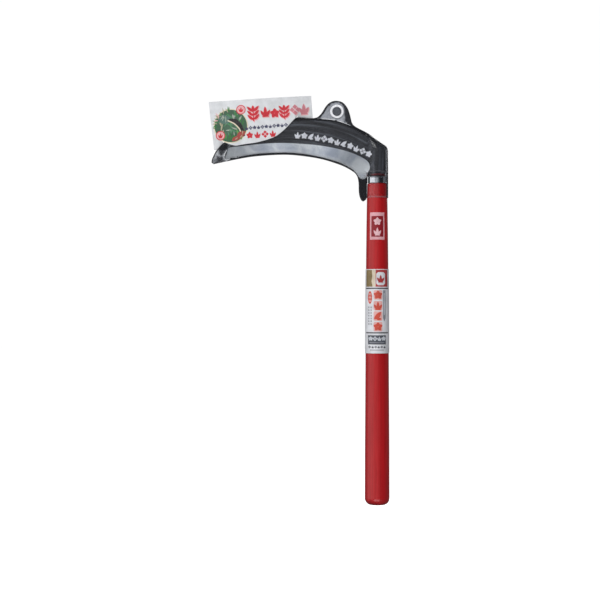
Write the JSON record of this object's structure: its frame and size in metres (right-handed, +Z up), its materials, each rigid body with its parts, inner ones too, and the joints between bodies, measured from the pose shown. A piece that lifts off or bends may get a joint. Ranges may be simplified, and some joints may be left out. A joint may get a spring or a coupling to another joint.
{
  "type": "hand sickle",
  "caption": "Hand sickle with a curved blade on a round wooden handle, in a clear blade cover that lifts off, with a paper card hung on the cover.",
  "frame": {"origin": "on the handle's axis, at the middle of the bare grip between the wrap label and the butt", "axes": "+Z up the handle's axis towards the blade, -X the way the blade reaches, -Y out of the blade's ground face"},
  "size_m": [0.2173, 0.0298, 0.4906],
  "materials": {
    "blade_steel": "black forge scale with a bright ground bevel",
    "red_lacquer": "turned hardwood under red lacquer, satin gloss",
    "chrome_band": "bright plated",
    "nail_steel": "plain wire nail",
    "label_film": "printed film, satin",
    "clear_plastic": "clear to smoky thermoformed sheet, glossy",
    "stud_dark": "moulded, satin",
    "stud_white": "moulded, glossy",
    "card_paper": "coated printed card"
  },
  "bodies": {
    "sickle": {"blade": "blade_steel", "handle": "red_lacquer", "ferrule": "chrome_band", "tang_pin": "nail_steel", "ferrule_nail": "nail_steel", "wrap_label": "label_film"},
    "blade_cover": {"cover_front": "clear_plastic", "cover_back": "clear_plastic", "stud_cap": "stud_dark", "stud_socket": "stud_dark", "stud_washer_front": "stud_white", "stud_washer_back": "stud_white"},
    "card": {"header_card": "card_paper"}
  },
  "joints": [
    {"name": "cover_lift", "type": "slide", "parent": "sickle", "child": "blade_cover", "axis": [0, 0, 1], "range_m": [0, 0.11]},
    {"name": "card_lift", "type": "slide", "parent": "blade_cover", "child": "card", "axis": [0, 0, 1], "range_m": [0, 0.06]}
  ]
}
